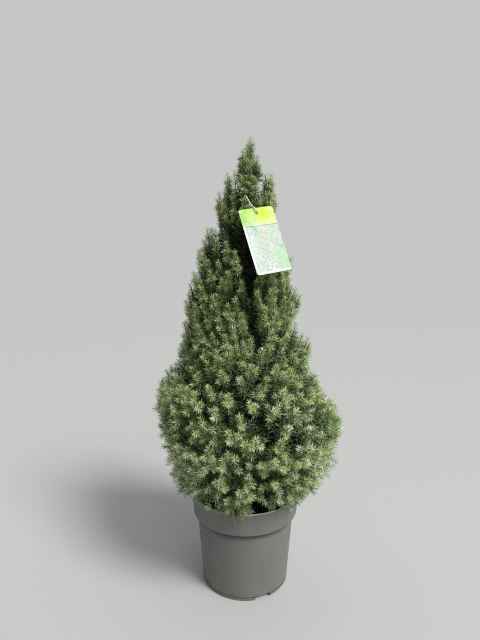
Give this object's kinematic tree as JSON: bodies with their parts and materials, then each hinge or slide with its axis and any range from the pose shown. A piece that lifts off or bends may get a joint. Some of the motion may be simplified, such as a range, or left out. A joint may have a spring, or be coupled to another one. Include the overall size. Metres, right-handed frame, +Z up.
{
  "type": "potted dwarf spruce",
  "caption": "Dwarf conifer in a round nursery pot: a dense upright cone of short needled shoots on one straight stem, with a blank plant card tied near the top.",
  "frame": {"origin": "centre of the pot's foot, on the surface it stands on", "axes": "+Z up along the stem; -Y is the front, where the plant card hangs; +X is the plant's right as seen from the front"},
  "size_m": [0.3114, 0.2996, 0.764],
  "materials": {
    "pot": "matte moulded plastic, mid grey",
    "compost": "moist dark potting compost with bark and a few pale grains",
    "bark": "thin scaly brown bark",
    "needles": "satin green needles with paler tips",
    "card": "glossy printed card, yellow-green head over pale green",
    "tie": "thin off-white tie"
  },
  "bodies": {
    "root": {"bough_lower_1": "bark", "bough_lower_2": "bark", "bough_lower_3": "bark", "bough_lower_4": "bark", "bough_lower_5": "bark", "bough_lower_6": "bark", "bough_middle_1": "bark", "bough_middle_2": "bark", "bough_middle_3": "bark", "bough_middle_4": "bark", "bough_middle_5": "bark", "bough_skirt_1": "bark", "bough_skirt_2": "bark", "bough_skirt_3": "bark", "bough_skirt_4": "bark", "bough_skirt_5": "bark", "bough_skirt_6": "bark", "bough_waist_1": "bark", "bough_waist_2": "bark", "bough_waist_3": "bark", "bough_waist_4": "bark", "card_tie": "tie", "compost": "compost", "foliage_crest_1": "needles", "foliage_crest_2": "needles", "foliage_crest_3": "needles", "foliage_crest_4": "needles", "foliage_leader": "needles", "foliage_lower_1": "needles", "foliage_lower_2": "needles", "foliage_lower_3": "needles", "foliage_lower_4": "needles", "foliage_lower_5": "needles", "foliage_lower_6": "needles", "foliage_middle_1": "needles", "foliage_middle_2": "needles", "foliage_middle_3": "needles", "foliage_middle_4": "needles", "foliage_middle_5": "needles", "foliage_shoulder_1": "needles", "foliage_shoulder_2": "needles", "foliage_shoulder_3": "needles", "foliage_shoulder_4": "needles", "foliage_skirt_1": "needles", "foliage_skirt_2": "needles", "foliage_skirt_3": "needles", "foliage_skirt_4": "needles", "foliage_skirt_5": "needles", "foliage_skirt_6": "needles", "foliage_upper_1": "needles", "foliage_upper_2": "needles", "foliage_upper_3": "needles", "foliage_upper_4": "needles", "foliage_waist_1": "needles", "foliage_waist_2": "needles", "foliage_waist_3": "needles", "foliage_waist_4": "needles", "plant_card": "card", "pot": "pot", "trunk": "bark"}
  },
  "joints": []
}
